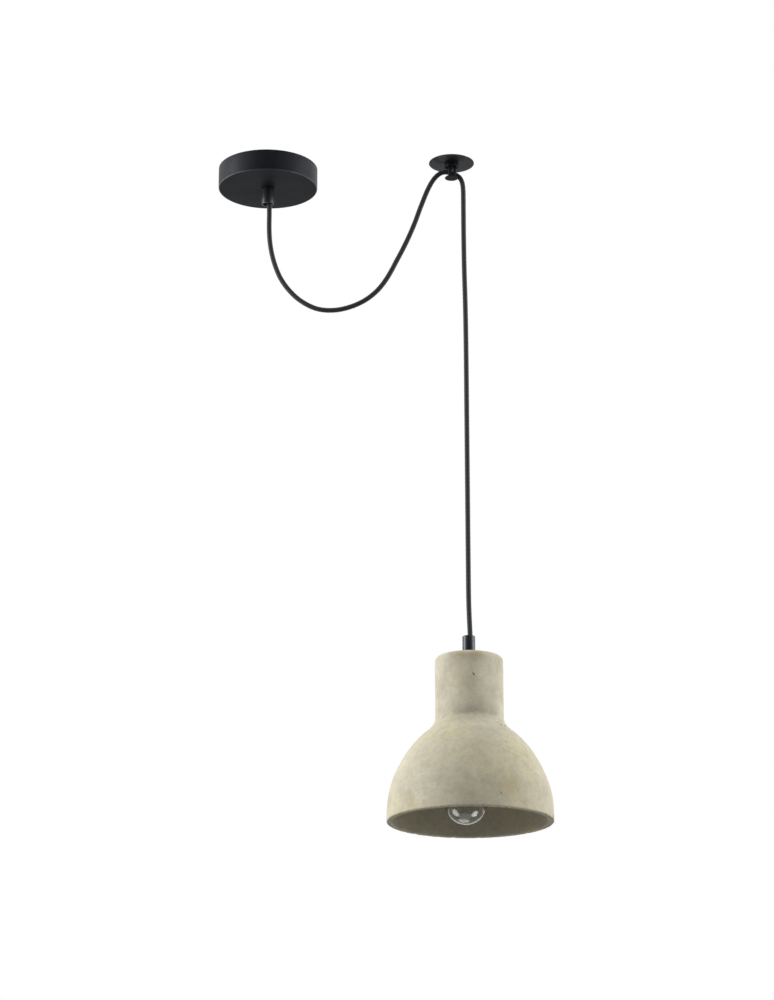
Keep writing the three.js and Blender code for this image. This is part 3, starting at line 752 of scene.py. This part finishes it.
def add_cords():
    """Lays the cord as three pieces: the swag rides on the ceiling set, and the link and the drop are left
    unattached in place.
    """
    centres, travelled, rings, weave = cord_rings()
    hanging = (centres[:, 0] > HANG_X) & (travelled > SWAG_LEAST)
    link_start = int(np.argmax(hanging & (centres[:, 2] < LINK_TOP)))
    link_end = int(np.argmax(hanging & (centres[:, 2] < LINK_BOTTOM)))
    stretches = (
        ("cord_swag_braid", 0, link_start, ("cord_swag", "cord_over_hook"), None),
        ("cord_link_braid", link_start, link_end, ("cord_link",), LINK_BEND),
        ("cord_drop_braid", link_end, len(centres) - 1, ("cord_drop",), DROP_BEND),
    )
    for name, first, last, nodes, bending in stretches:
        own = slice(first, last + 1)
        piece = add_piece(name, tube_mesh(rings[own]), "black_cord")
        add_values(piece.data, "weave", weave[own].reshape(-1).astype(np.float32))
        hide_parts(*nodes)
        if bending:
            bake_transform(piece)
        else:
            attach(piece, "ceiling_set")


add_cords()


# ---------------- canopy and its fittings

GAP = 0.3
CANOPY = {"radius": 60.7, "height": 26.2, "wall": 1.2, "edge": 1.5}
SIDE_SCREW = {"radius": 1.9, "hole": 2.2, "tip": 52.5, "head": 60.5, "z": -8, "pitch": 0.7, "socket": 2}
GRUB = {"radius": 1.5, "hole": 1.75, "pitch": 0.5, "socket": 1.6}
GLAND_GRUB_Z = -36
TERMINAL_X = 24.5
TERMINAL_WAYS = (-8, 0, 8)
WAY_SCREWS = (-5, 5)
FIXING_Y = 4
EARTH_X = -22


def canopy_cup():
    radius, height, wall, edge = CANOPY.values()
    outline = [(5.8, -height, 0.2), (radius, -height, edge), (radius, 0, 0.3), (radius - wall, 0, 0.3),
               (radius - wall, wall - height, 1), (5.8, wall - height, 0.2)]
    body = turned(outline, segments=192)
    return cut(body, drill(SIDE_SCREW["hole"], -radius - 5, radius + 5, facing_x(0, 0, SIDE_SCREW["z"])))


def mounting_bracket():
    profile = [(-57, -13, 0.2), (-57, 0, 2.5), (57, 0, 2.5), (57, -13, 0.2), (55, -13, 0.2), (55, -2, 0.6),
               (-55, -2, 0.6), (-55, -13, 0.2)]
    tools = [drill(SIDE_SCREW["hole"], -60, 60, facing_x(0, 0, SIDE_SCREW["z"]), 24)]
    for x in (-40, 40):
        slot = [(x - 8, -2.5, 2.4), (x + 8, -2.5, 2.4), (x + 8, 2.5, 2.4), (x - 8, 2.5, 2.4)]
        tools.append(prism(slot, -4, 1))
    tools.append(drill(2.2, -4, 1, at(EARTH_X, 0), 24))
    tools.append(drill(1.8, -4, 1, at(TERMINAL_X, FIXING_Y), 24))
    return cut(prism(profile, -12, 12, along_y=True), *tools)


def side_screw(sign):
    length = SIDE_SCREW["head"] - SIDE_SCREW["tip"]
    start = facing_x(sign * SIDE_SCREW["head"], 0, SIDE_SCREW["z"], -sign)
    return set_screw(SIDE_SCREW["radius"], length, SIDE_SCREW["pitch"], SIDE_SCREW["socket"], start)


def grub_screw(x, y, z, length):
    """A small headless screw driven from the left."""
    return set_screw(GRUB["radius"], length, GRUB["pitch"], GRUB["socket"], facing_x(x, y, z))


def gland_body():
    outline = [
        (3.6, -18.5, 0.3), (5.5, -18.5, 0.4), (5.5, -26.5, 0.2), (7.6, -26.5, 0.3), (7.6, -46.6, 1),
        (5.3, -46.6, 0.5), (5.3, -32, 0.5), (3.6, -29.5, 0.5),
    ]
    return cut(turned(outline), drill(GRUB["hole"], -8.6, -4.3, facing_x(0, 0, GLAND_GRUB_Z)))


def terminal_block():
    length, width, top, bottom, wire_z = 17, 24, -2.3, -13.3, -8.2
    tools = []
    for y in TERMINAL_WAYS:
        tools.append(drill(1.6, -length, length, facing_x(0, y, wire_z), 20))
        for x in WAY_SCREWS:
            tools.append(drill(2.1, bottom - 1, wire_z, at(x, y), 24))
    tools.append(drill(1.8, bottom - 1, top + 1, at(0, FIXING_Y), 24))
    tools.append(drill(2.9, bottom - 1, bottom + 2, at(0, FIXING_Y), 24))
    tools.append(box_mesh((-length, -4.5, bottom - 1), (length, -3.5, bottom + 2)))
    block = box_mesh((-length / 2, -width / 2, bottom), (length / 2, width / 2, top), bevel=0.7)
    return cut(block, *tools, place=at(TERMINAL_X, 0))


def terminal_screw(x, y):
    return slotted(rod(1.75, -13, -10.2, edge=0.3, segments=32), 1.75, -13, 0.8, at(TERMINAL_X + x, y))


def pan_screw(head, head_low, head_high, shank, tip, place):
    """A screw with a domed slotted head under its threaded shank."""
    outline = [(0, head_low), (head, head_low, 0.55 * head), (head, head_high, 0.2), (shank, head_high),
               (shank, tip, 0.3), (0, tip)]
    body = turned(outline, segments=48, step=0.15, shape=thread(0.7, 0.3, head_high + 0.2, tip))
    return slotted(body, head, head_low, 0.9, place)


def earth_ring_tag():
    radius, half, reach = 4.2, 1.3, 8
    start = math.asin(half / radius)
    outline = arc(radius, start, TURN - start, 40) + [(reach, -half), (reach, half)]
    return cut(prism(outline, -3.1, -2.3, bevel=0.12), drill(2.4, -4, -1), place=at(EARTH_X, 0))


UPPER_CORES = {
    "core_live_upper": [(1.2, -1.2, -16.4), (3, -4, -12), (9, -7.6, -8.8), (15, -8, -8.2), (19, -8, -8.2)],
    "core_neutral_upper": [(1.4, 1, -16.4), (4, 0.8, -11.5), (10, 0.2, -8.6), (15, 0, -8.2), (19, 0, -8.2)],
    "core_earth_upper": [(-1.5, 0, -16.4), (-3.5, 0, -12), (-7, 0, -7), (-10.5, 0, -4), (-13.7, 0, -3.6)],
}


def add_canopy():
    stand_for("canopy_cup", canopy_cup())
    stand_for("mounting_bracket", mounting_bracket())
    stand_for("canopy_screw_left", side_screw(-1))
    stand_for("canopy_screw_right", side_screw(1))
    stand_for("gland_body", gland_body())
    stand_for("gland_locknut", hex_nut(16, 5.8, -24.7, -21.5, Matrix.Identity(4)))
    stand_for("gland_grub_screw", grub_screw(-8.5, 0, GLAND_GRUB_Z, 6.2))
    stand_for("terminal_block", terminal_block())
    places = [(x, y) for y in TERMINAL_WAYS for x in WAY_SCREWS]
    for number, (x, y) in enumerate(places, 1):
        stand_for(f"terminal_screw_{number}", terminal_screw(x, y))
    stand_for("terminal_fixing_screw", pan_screw(2.6, -13.1, -11.6, 1.5, -0.3, at(TERMINAL_X, FIXING_Y)))
    stand_for("earth_ring_tag", earth_ring_tag())
    stand_for("earth_screw", pan_screw(3.6, -5.4, -3.4, 1.9, -0.3, at(EARTH_X, 0)))
    for node, route in UPPER_CORES.items():
        stand_for(node, sweep(route, CORE_RADIUS))


# ---------------- ceiling hook

HOOK = at(225.4, -19.5)
POSTS = {"hook_post": (-2, -1.3, 2), "hook_pin": (4.1, -1.5, 1.5)}


def post_holes(low, high):
    return [drill(radius + GAP, low, high, at(x, y)) for x, y, radius in POSTS.values()]


def hook_boss():
    body = turned([(0, -6), (8.5, -6, 0.8), (8.5, -1.1, 0.3), (2.5, -1.1), (2.5, -2.9), (0, -2.9)])
    return cut(body, *post_holes(-7, -3.2), place=HOOK)


def hook_button():
    """A round button under the cord: its upper side is domed and its lower edge is well rounded."""
    outline = [(0, -20.1), (8.2, -20.1, 1), (8.2, -19.3, 0.6), (5.2, -17, 2), (0, -16.9)]
    return cut(turned(outline), *post_holes(-18.5, 0), place=HOOK)


def add_hook():
    plate = [(3, 0, 0.1), (27.6, 0, 0.2), (27.6, -0.8, 0.4), (3, -0.8, 0.2)]
    stand_for("hook_plate", turned(plate, HOOK, 128))
    stand_for("hook_boss", hook_boss())
    for node, (x, y, radius) in POSTS.items():
        stand_for(node, rod(radius, -18.2, -3.5, HOOK @ at(x, y), edge=0.4))
    stand_for("hook_button", hook_button())


# ---------------- shade

AXIS = at(SHADE_X, SHADE_Y)
RIM_Z = -818.5
TOP_Z = -624.3
GRIP_GRUB_Z = -605.5
DOME = (96.2, 123)
DOME_INSIDE = (89.2, 116)
BULGE_HEIGHT = 76  # below this the dome stands up to 1 mm out from its ellipse
NECK_RADIUS = 39.9
NECK_INSIDE = 31.9
NECK_FOOT = 122  # above the rim, like the fillet's foot
FILLET_FOOT = 105
TOP_ROUNDING = 5.5
TOP_SLAB = 12
TUBE_HOLE = 6.2


def shade_outline():
    """Up the outside from the rim, over the neck's top, and down the inside to the rim again."""
    outline = []
    fillet_start = math.asin(FILLET_FOOT / DOME[1])
    for across, up in arc(1, 0, fillet_start, 60):
        height = DOME[1] * up
        fuller = math.sin(math.pi * min(height / BULGE_HEIGHT, 1)) ** 2
        outline.append((DOME[0] * across + fuller, RIM_Z + height))
    start = Vector(outline[-1])
    meet = Vector((NECK_RADIUS, RIM_Z + (FILLET_FOOT + NECK_FOOT) / 2))
    end = Vector((NECK_RADIUS, RIM_Z + NECK_FOOT))
    outline += bend(start, meet, end, 12)[1:]
    for r, z in arc(TOP_ROUNDING, 0, TURN / 4, 8):
        outline.append((NECK_RADIUS - TOP_ROUNDING + r, TOP_Z - TOP_ROUNDING + z))
    outline += [(TUBE_HOLE, TOP_Z), (TUBE_HOLE, TOP_Z - TOP_SLAB), (NECK_INSIDE - 3, TOP_Z - TOP_SLAB)]
    neck_meets_dome = math.acos(NECK_INSIDE / DOME_INSIDE[0])
    for across, up in arc(1, neck_meets_dome, 0, 60):
        outline.append((DOME_INSIDE[0] * across, RIM_Z + DOME_INSIDE[1] * up))
    outline[-1] = (outline[-1][0] - 0.2, RIM_Z + 0.8)
    outline += [(DOME_INSIDE[0] + 0.6, RIM_Z), (DOME[0] - 0.7, RIM_Z)]
    outline[0] = (DOME[0], RIM_Z + 0.7)
    return outline


def cast_surface(angle, radius, z):
    """Slow waves and sandy roughness of cast concrete, and chips along the rim. Never outwards."""
    away_from_bore = clamped((radius - 10 * MM) / (8 * MM))
    point = Vector((radius * math.cos(angle), radius * math.sin(angle), z))
    waves = 0.5 + 0.5 * noise.noise(point * 22)
    sand = 0.5 + 0.5 * noise.noise(point * 420)
    depth = (0.35 * waves + 0.12 * sand) * MM
    near_rim = math.exp(-((z - RIM_Z * MM) / (2.2 * MM)) ** 2)
    chip = max(noise.noise(point * 150) - 0.12, 0) + 0.4 * max(noise.noise(point * 420) - 0.1, 0)
    outside = 1 if radius > 92.5 * MM else -1
    radius -= away_from_bore * depth + outside * near_rim * chip * 0.9 * MM
    return radius, z + near_rim * (chip * 0.7 + 0.1 * sand) * MM


def shade_mesh():
    """The shade, with two masks on its points: a smudge above its shoulder, and painted shade along its
    lower edge.
    """
    outline = scaled(shade_outline())
    outline = dense(outline + [outline[0]], 1.5 * MM)[:-1]
    mesh = revolve(outline, 384, cast_surface, sharp=50)
    smudge = []
    edge = []
    for vertex in mesh.vertices:
        x, y, z = vertex.co / MM
        facing = math.degrees(math.atan2(x, -y))
        across = clamped((facing + 32) / 14) * clamped((58 - facing) / 14)
        cloud = 0.65 + 0.7 * noise.noise(vertex.co * 45)
        height = z - (RIM_Z + 119.5) + 1.2 * noise.noise(vertex.co * 90)
        band = math.exp(-(height / (9 if height > 0 else 1.8)) ** 2)
        smudge.append(0.5 * band * across * clamped(cloud))
        # Painted shade on the rim's underside, with a ragged upper edge.
        edge.append(clamped((RIM_Z + 0.15 + 1.1 * noise.noise(vertex.co * 330) - z) / 0.9))
    add_values(mesh, "smudge", smudge)
    add_values(mesh, "edge", edge)
    mesh.transform(AXIS)
    return mesh


def grip_body():
    outline = [
        (5, -598.8, 0.4), (7.6, -598.8, 1.6), (7.6, -624, 0.2), (5.8, -624, 0.2), (5.8, -611.5), (5, -611.5),
    ]
    return cut(turned(outline), drill(GRUB["hole"], -8.6, -4, facing_x(0, 0, GRIP_GRUB_Z)), place=AXIS)


# The tube leans a little in the shade's oversize hole, and the lampholder and the bulb with it.
LEAN_Z = -612.3
LEANING = AXIS @ at(0, 0, LEAN_Z) @ Matrix.Rotation(math.radians(1.5), 4, "Y") @ at(0, 0, -LEAN_Z)


def washer(bore, radius, top, bottom, inner, outer, place):
    """A washer with that rounding on its inner and its outer edges."""
    outline = [(bore, top, inner), (radius, top, outer), (radius, bottom, outer), (bore, bottom, inner)]
    return turned(outline, place)


def add_shade():
    stand_for("shade", shade_mesh())
    stand_for("grip_body", grip_body())
    stand_for("grip_grub_screw", grub_screw(SHADE_X - 7.2, SHADE_Y, GRIP_GRUB_Z, 5.2))
    stand_for("rubber_washer", washer(6.2, 16, -636.6, -638.1, 0.3, 0.5, AXIS))
    stand_for("steel_washer", washer(5.3, 15, -639.1, -640.7, 0.2, 0.3, LEANING))
    stand_for("shade_nut", hex_nut(17, 5.3, -646, -641, LEANING))
    stand_for("holder_locknut", hex_nut(14, 5.3, -709.7, -706.2, LEANING))
    tube = [(3.6, LEAN_Z, 0.3), (5, LEAN_Z, 0.4), (5, -718, 0.4), (3.6, -718, 0.3)]
    stand_for("threaded_tube", turned(tube, LEANING, 32, 0.14, thread(1, 0.5, -718, LEAN_Z, least=4.4)))


# ---------------- lampholder

EDISON_PITCH = 3.6


def ribbed(count, depth, low, high):
    """Upright ribs round a turned piece between two heights in millimetres."""
    def shape(angle, radius, z):
        inside = low * MM < z < high * MM and radius > 18.5 * MM
        groove = 0.5 - 0.5 * math.cos(count * angle)
        return radius - (depth * MM * groove if inside else 0), z
    return shape


def add_lampholder():
    cap = [
        (5.3, -710, 0.3), (5.3, -716), (7.5, -716), (15, -717, 3), (17.6, -727, 3), (17.6, -733),
        (19.8, -733, 0.3), (19.8, -725, 5), (16, -715, 6), (8.5, -713.5, 1), (8.5, -710, 0.5),
    ]
    stand_for("lampholder_cap", turned(cap, LEANING, 128))
    skirt = [(17.6, -733.3), (17.6, -766), (15, -766, 0.3), (15, -768, 0.4), (19.8, -768, 1.2),
             (19.8, -733.3, 0.3)]
    stand_for("lampholder_skirt", turned(skirt, LEANING, 288, 0.8, ribbed(36, 0.35, -765, -736)))
    insert = [(0, -733.6), (17.2, -733.6, 0.6), (17.2, -741, 0.6), (5.2, -741, 0.4), (4.8, -740.6),
              (0, -740.6)]
    stand_for("lampholder_insert", turned(insert, LEANING))
    shell = [(13.5, -741.3), (14.2, -741.3), (14.2, -764, 0.3), (13.5, -764, 0.3)]
    edison = thread(EDISON_PITCH, 0.9, -764, -742)
    stand_for("contact_shell", turned(shell, LEANING, 96, 0.3, edison))
    contact = [(0, -741.3), (4, -741.3, 0.3), (4, -743, 0.7), (0, -743)]
    stand_for("centre_contact", turned(contact, LEANING, 48))
    route = [(1.8, 0, -611.3), (1.8, 0, -660), (1.8, 0, -717), (3.4, 0, -722), (7.5, 0, -727.5),
             (9, 0, -733.3)]
    for i, node in enumerate(("core_live_lower", "core_neutral_lower", "core_earth_lower")):
        turn = Matrix.Rotation(TURN * i / 3, 4, "Z")
        stand_for(node, sweep(route, CORE_RADIUS, step=0.8, place=LEANING @ turn))


# ---------------- bulb

GLOBE = {"radius": 25, "z": -796, "glass": 0.7, "neck": 12.1, "neck_top": -756}


def bulb_glass():
    """Outer and inner skin of the globe, which flows into the neck through a hollow curve."""
    radius, centre, wall, neck, neck_top = GLOBE.values()

    def skin(inset):
        r = radius - inset
        throat = neck - inset
        leave = math.acos((throat + 2.2) / r)
        points = [(x, centre + z) for x, z in arc(r, -TURN / 4, leave, 72)]
        start = Vector(points[-1])
        meet = Vector((throat, start.y + 1.6))
        end = Vector((throat, start.y + 7))
        points += bend(start, meet, end, 10)[1:]
        points.append((throat, neck_top))
        points[0] = (0, points[0][1])
        return points

    outline = skin(wall) + list(reversed(skin(0)))
    return turned(outline, LEANING, 128)


def bulb_cap():
    outline = [
        (0, -749.8), (11, -749.8, 0.8), (13.1, -752, 0.8), (13.1, -771, 0.3), (12.5, -771, 0.3),
        (12.5, -752.3, 0.8), (10.8, -750.6, 0.8), (0, -750.6),
    ]
    return turned(outline, LEANING, 96, 0.3, thread(EDISON_PITCH, 0.9, -767.5, -752.5, least=11.6))


def bulb_filament():
    """A fine coil along a shallow curve between the two leads."""
    reach, end, top = 7.1, -797.5, -796
    turns, radius, fine = 40, 0.42, 0.075
    count = turns * 12
    t = np.linspace(-1, 1, count + 1)
    x = reach * t
    z = top + (end - top) * t * t
    phase = TURN * turns * (t + 1) / 2
    slope = np.arctan2(2 * (end - top) * t, np.full_like(t, reach))
    up = radius * np.cos(phase)
    centres = np.stack([x - up * np.sin(slope), radius * np.sin(phase), z + up * np.cos(slope)], axis=1)
    return wire(centres * MM, fine * MM, 6, LEANING)


def add_bulb():
    outlines = {
        "bulb_tip": [(0, -744.9), (4.4, -744.9, 0.2), (4.4, -743.3, 1.2), (0, -743.3)],
        "bulb_insulator": [(0, -745.2), (5, -745.2, 0.5), (10.5, -749.5, 0.5), (0, -749.5)],
        "bulb_stem": [(0, -784), (2.2, -784, 1.4), (2.2, -769, 1), (3.2, -764, 3), (10.5, -758, 1),
                      (10.5, -757, 0.3), (0, -757)],
    }
    for node, outline in outlines.items():
        stand_for(node, turned(outline, LEANING, 64))
    stand_for("bulb_cap", bulb_cap())
    stand_for("bulb_glass", bulb_glass())
    for node, side in (("bulb_lead_left", -1), ("bulb_lead_right", 1)):
        route = [(side, 0, -784.4), (3.5 * side, 0, -788.4), (8 * side, 0, -798)]
        stand_for(node, sweep(route, 0.35, 10, 0.3, LEANING))
    stand_for("bulb_filament", bulb_filament())


add_canopy()
add_hook()
add_shade()
add_lampholder()
add_bulb()


# ---------------- floor and light

FLOOR_Z = -4.2
TARGET = Vector((0.15, 0, -0.5))
SOFTBOX_DISTANCE = 2.2


def add_floor():
    made = bmesh.new()
    bmesh.ops.create_grid(made, x_segments=4, y_segments=4, size=60)
    mesh = finish_mesh(made, Matrix.Translation((0, 0, FLOOR_Z)))
    floor = new_object("floor", mesh)
    material, tree, shader, where = new_material("pale_floor", Roughness=0.8)
    clouds = grain(tree, where, 1.5, 3)
    tree.links.new(mixed(tree, clouds, (0.86, 0.86, 0.86), (0.9, 0.9, 0.895)), shader.inputs["Base Color"])
    mesh.materials.append(material)
    floor.visible_glossy = False
    floor.visible_diffuse = False


def add_softbox(name, azimuth, radiance, width, height, lift):
    """A gridded soft box that faces the middle of the light, azimuth degrees round from the front."""
    angle = math.radians(azimuth)
    data = bpy.data.lights.new(name, "AREA")
    data.shape = "RECTANGLE"
    data.size = width
    data.size_y = height
    data.spread = math.radians(100)
    data.energy = radiance * math.pi * width * height
    lamp = new_object(name, data)
    lamp.location = TARGET + Vector((math.sin(angle), -math.cos(angle), 0)) * SOFTBOX_DISTANCE
    lamp.location.z += lift
    lamp.rotation_euler = (TARGET - lamp.location).to_track_quat("-Z", "Y").to_euler()


# Soft glows for the highlights in the bulb and on the grip: the way towards each, the cosines of the
# angles at which it begins and is full, and its strength.
GLOWS = (
    ((-0.71, 0.06, -0.69), 0.92, 0.99, 6.5), ((0.61, 0.0, -0.79), 0.94, 0.99, 7.5),
    ((-0.05, 0.05, -1.0), 0.84, 0.98, 1.1), ((-0.1, 0.58, -0.81), 0.94, 0.985, 2.6),
    ((0.7, 0.71, 0.06), 0.95, 0.99, 2.5),
)


def all_glows(tree, direction):
    light = 0.0
    for towards, outside, inside, strength in GLOWS:
        cosine = add_node(tree, "VectorMath", {0: direction, 1: towards}, operation="DOT_PRODUCT")
        glow = remap(tree, cosine.outputs["Value"], outside, inside, 0.0, strength)
        light = total(tree, glow, light)
    return light


def add_world():
    """Soft light from both sides and a dim front. The camera itself sees a plain white backdrop."""
    world = bpy.data.worlds.new("studio")
    bpy.context.scene.world = world
    world.use_nodes = True
    tree = world.node_tree
    tree.nodes.clear()
    direction = add_node(tree, "TexCoord").outputs["Generated"]
    parts = add_node(tree, "SeparateXYZ", {"Vector": direction}).outputs
    level = remap(tree, parts["Z"], -0.45, 0.1, 0.12, 1.0)
    sides = remap(tree, maths(tree, "ABSOLUTE", parts["X"]), 0.35, 0.85, 0.0, 0.85)
    behind = remap(tree, parts["Y"], 0.1, 0.9, 0.0, 0.9)
    above = remap(tree, parts["Z"], 0.1, 0.9, 0.0, 0.5)
    around = product(tree, total(tree, sides, behind), level)
    front = product(tree, remap(tree, parts["Y"], -0.2, -0.9, 0.0, 0.015), level)
    base = remap(tree, parts["Z"], -0.6, -0.05, 0.03, 0.108)
    glow = total(tree, around, total(tree, total(tree, above, front), base))
    paths = add_node(tree, "LightPath").outputs
    diffuse = paths["Is Diffuse Ray"]
    below = product(tree, remap(tree, parts["Z"], -0.1, -0.8, 0.0, 0.36), diffuse)
    sheen = product(tree, all_glows(tree, direction), maths(tree, "SUBTRACT", 1.0, diffuse))
    glow = total(tree, glow, total(tree, below, sheen))
    paper = (1, 1, 1, 1)
    soft = add_node(tree, "Background", {"Color": paper, "Strength": glow}).outputs["Background"]
    white = add_node(tree, "Background", {"Color": paper, "Strength": 1.0}).outputs["Background"]
    mix = add_node(tree, "MixShader", {0: paths["Is Camera Ray"], 1: soft, 2: white}).outputs["Shader"]
    output = tree.nodes.new("ShaderNodeOutputWorld")
    tree.links.new(mix, output.inputs["Surface"])


add_floor()
add_softbox("softbox_left", -84, 2.9, 0.9, 2.0, lift=0.5)
add_softbox("softbox_right", 84, 1.85, 0.9, 2.0, lift=0.5)
add_world()
bpy.context.scene.view_settings.view_transform = "Standard"
